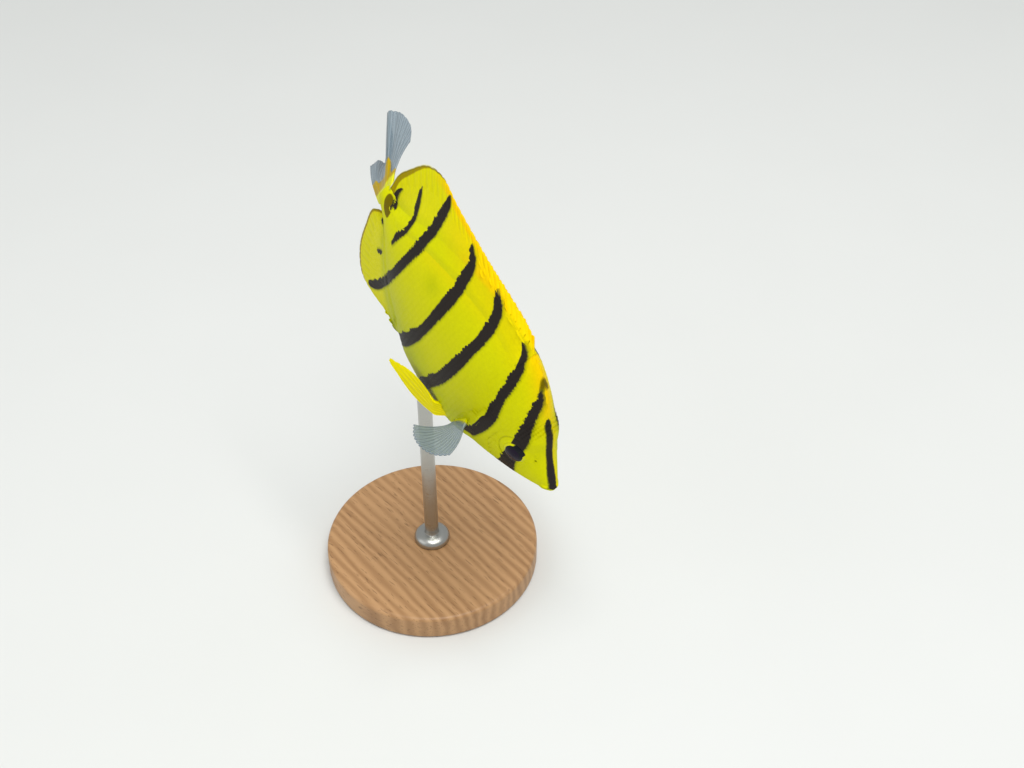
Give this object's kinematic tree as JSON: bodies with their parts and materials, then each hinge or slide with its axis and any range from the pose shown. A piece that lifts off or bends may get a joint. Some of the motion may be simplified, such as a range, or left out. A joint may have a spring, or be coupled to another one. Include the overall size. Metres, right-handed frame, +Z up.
{
  "type": "eightband butterflyfish model",
  "caption": "Life-size still model of an eightband butterflyfish, yellow with dark bars, head down with its tail swung aside, held by a rod on a round display base.",
  "frame": {"origin": "centre of the underside of the round base, on the rod's axis", "axes": "+Z up; +X the way the head points, seen from above; +Y to the fish's left"},
  "size_m": [0.0909, 0.062, 0.1353],
  "materials": {
    "fish_skin": "painted resin cast, satin under fine scales, yellow with dark bars",
    "fin_yellow": "thin painted resin fin with raised rays, yellow to amber",
    "fin_clear": "thin clear resin fin with raised rays, blue grey",
    "eye": "polished dark glass eye with a yellow ring",
    "base_wood": "turned pale maple, satin oil",
    "rod_steel": "turned stainless steel, brushed round"
  },
  "bodies": {
    "root": {"head": "fish_skin", "torso": "fish_skin", "tail_stem": "fish_skin", "eye_right": "eye", "eye_left": "eye", "dorsal_fin": "fin_yellow", "anal_fin": "fin_yellow", "caudal_fin": "fin_clear", "pectoral_fin_right": "fin_clear", "pectoral_fin_left": "fin_clear", "pelvic_fin_right": "fin_yellow", "pelvic_fin_left": "fin_yellow", "stand_base": "base_wood", "stand_rod": "rod_steel"}
  },
  "joints": []
}
